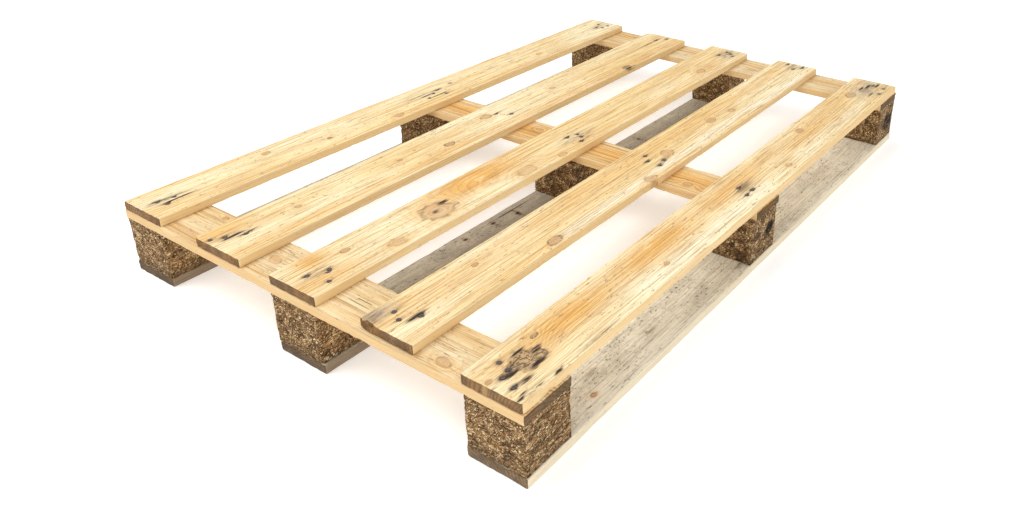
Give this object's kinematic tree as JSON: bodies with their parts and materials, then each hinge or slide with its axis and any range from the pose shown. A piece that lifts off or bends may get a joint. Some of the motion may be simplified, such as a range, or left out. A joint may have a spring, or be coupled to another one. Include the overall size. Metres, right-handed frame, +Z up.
{
  "type": "wooden pallet",
  "caption": "Four-way entry wooden block pallet: spaced deck boards on cross boards, pressed-wood blocks and bottom runners, nailed together, with fork pockets on all sides.",
  "frame": {"origin": "centre of the pallet's footprint, on the floor under the runners", "axes": "+X along the deck boards and runners, towards the rear end; +Y across them, towards the left side; +Z up from the runners to the deck"},
  "size_m": [1.2, 0.8, 0.121],
  "materials": {
    "deck_wood": "rough sawn pine, pale",
    "cross_wood": "rough sawn pine",
    "runner_wood": "weathered, dusty sawn pine",
    "pressed_wood": "pressed wood chips, rough",
    "nail_steel": "dull, slightly rusty"
  },
  "bodies": {
    "root": {"deck_outer_left": "deck_wood", "deck_inner_left": "deck_wood", "deck_centre": "deck_wood", "deck_inner_right": "deck_wood", "deck_outer_right": "deck_wood", "cross_front": "cross_wood", "cross_middle": "cross_wood", "cross_rear": "cross_wood", "block_front_left": "pressed_wood", "block_front_centre": "pressed_wood", "block_front_right": "pressed_wood", "block_middle_left": "pressed_wood", "block_middle_centre": "pressed_wood", "block_middle_right": "pressed_wood", "block_rear_left": "pressed_wood", "block_rear_centre": "pressed_wood", "block_rear_right": "pressed_wood", "runner_left": "runner_wood", "runner_centre": "runner_wood", "runner_right": "runner_wood", "deck_nails_front": "nail_steel", "deck_nails_middle": "nail_steel", "deck_nails_rear": "nail_steel", "clinched_nails_front": "nail_steel", "clinched_nails_middle": "nail_steel", "clinched_nails_rear": "nail_steel", "runner_nails_left": "nail_steel", "runner_nails_centre": "nail_steel", "runner_nails_right": "nail_steel"}
  },
  "joints": []
}
